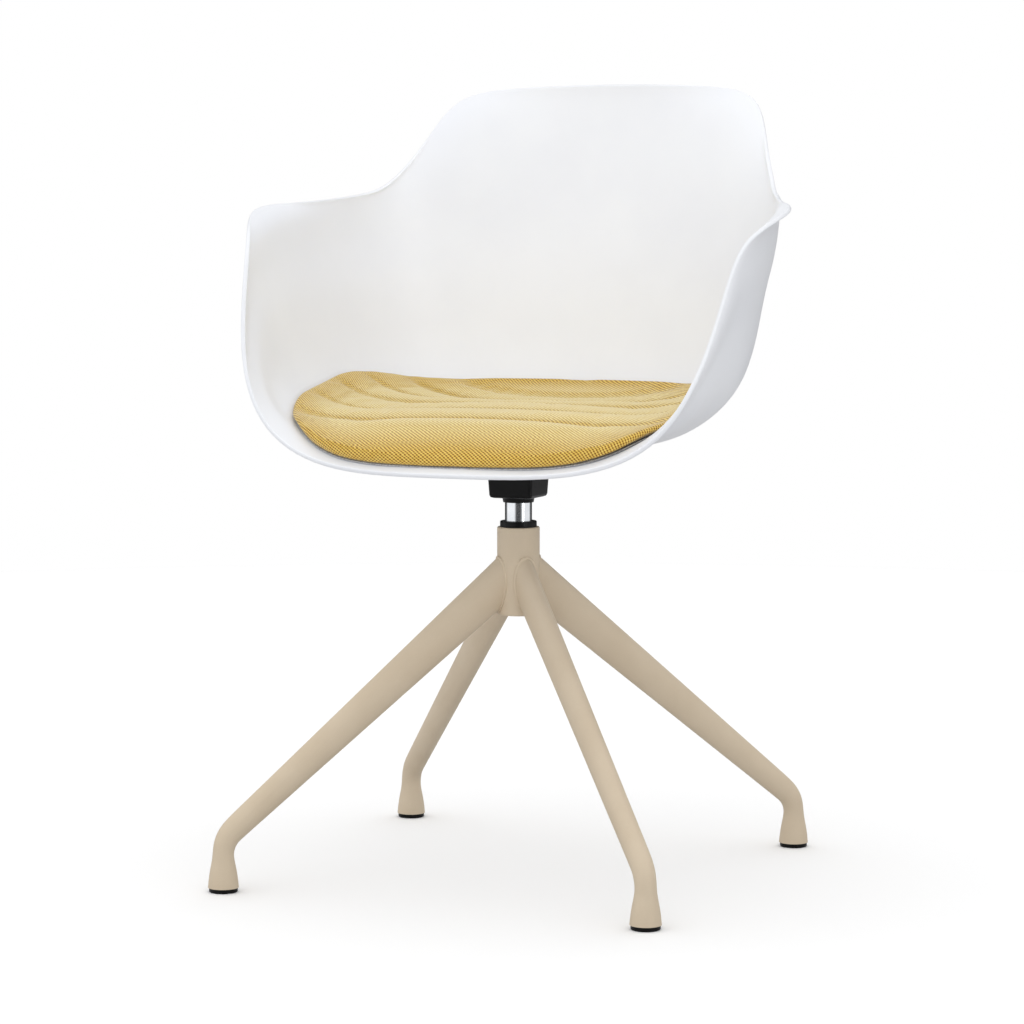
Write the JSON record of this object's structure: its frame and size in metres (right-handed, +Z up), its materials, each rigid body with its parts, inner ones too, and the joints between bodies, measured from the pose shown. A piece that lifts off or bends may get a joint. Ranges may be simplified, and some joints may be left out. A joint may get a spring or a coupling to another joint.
{
  "type": "swivel dining chair",
  "caption": "Moulded armchair shell with a channelled cloth seat pad, turning on a short column in the hub of a splayed tube base with kneed legs and flared feet.",
  "frame": {"origin": "on the floor under the swivel axis, at the middle of the four feet", "axes": "+Z up along the swivel axis, -Y towards the seat's front, +X towards the sitter's left arm"},
  "size_m": [0.5921, 0.4932, 0.8194],
  "materials": {
    "base_paint": "matt beige powder coat",
    "black_plastic": "black moulded",
    "plain_steel": "zinc plated",
    "column_chrome": "bright chrome",
    "black_steel": "black powder coat",
    "insert_brass": "plain",
    "shell_white": "satin white moulded",
    "pad_underside": "grey non-slip cloth",
    "pad_cloth": "yellow basket weave"
  },
  "bodies": {
    "base": {"leg_back_right": "base_paint", "leg_back_left": "base_paint", "leg_front_left": "base_paint", "leg_front_right": "base_paint", "glide_back_right": "black_plastic", "glide_back_left": "black_plastic", "glide_front_left": "black_plastic", "glide_front_right": "black_plastic", "hub_tube": "base_paint", "hub_welds": "base_paint", "hub_floor": "base_paint", "upper_bush": "black_plastic", "lower_bush": "black_plastic", "thrust_race_lower": "plain_steel"},
    "seat": {"spindle_collar": "black_plastic", "swivel_housing": "black_plastic", "thrust_race_upper": "plain_steel", "retaining_washer": "plain_steel", "retaining_clip": "plain_steel", "spindle_socket": "plain_steel", "plate_bolts": "plain_steel", "plate_washers": "plain_steel", "swivel_spindle": "column_chrome", "mounting_plate": "black_steel", "shell_inserts": "insert_brass", "seat_shell": "shell_white", "pad_backing": "pad_underside", "pad_tabs": "pad_underside", "pad_cushion": "pad_cloth"},
    "bearing_cage": {"thrust_cage": "plain_steel", "thrust_balls": "plain_steel"}
  },
  "joints": [
    {"name": "swivel", "type": "hinge", "parent": "base", "child": "seat", "pos_m": [0, 0, 0.3], "axis": [0, 0, 1], "continuous": true},
    {"name": "cage_roll", "type": "hinge", "parent": "base", "child": "bearing_cage", "pos_m": [0, 0, 0.278], "axis": [0, 0, 1], "continuous": true}
  ],
  "couplings": [
    {"joint": "cage_roll", "follows": "swivel", "ratio": 0.5}
  ]
}
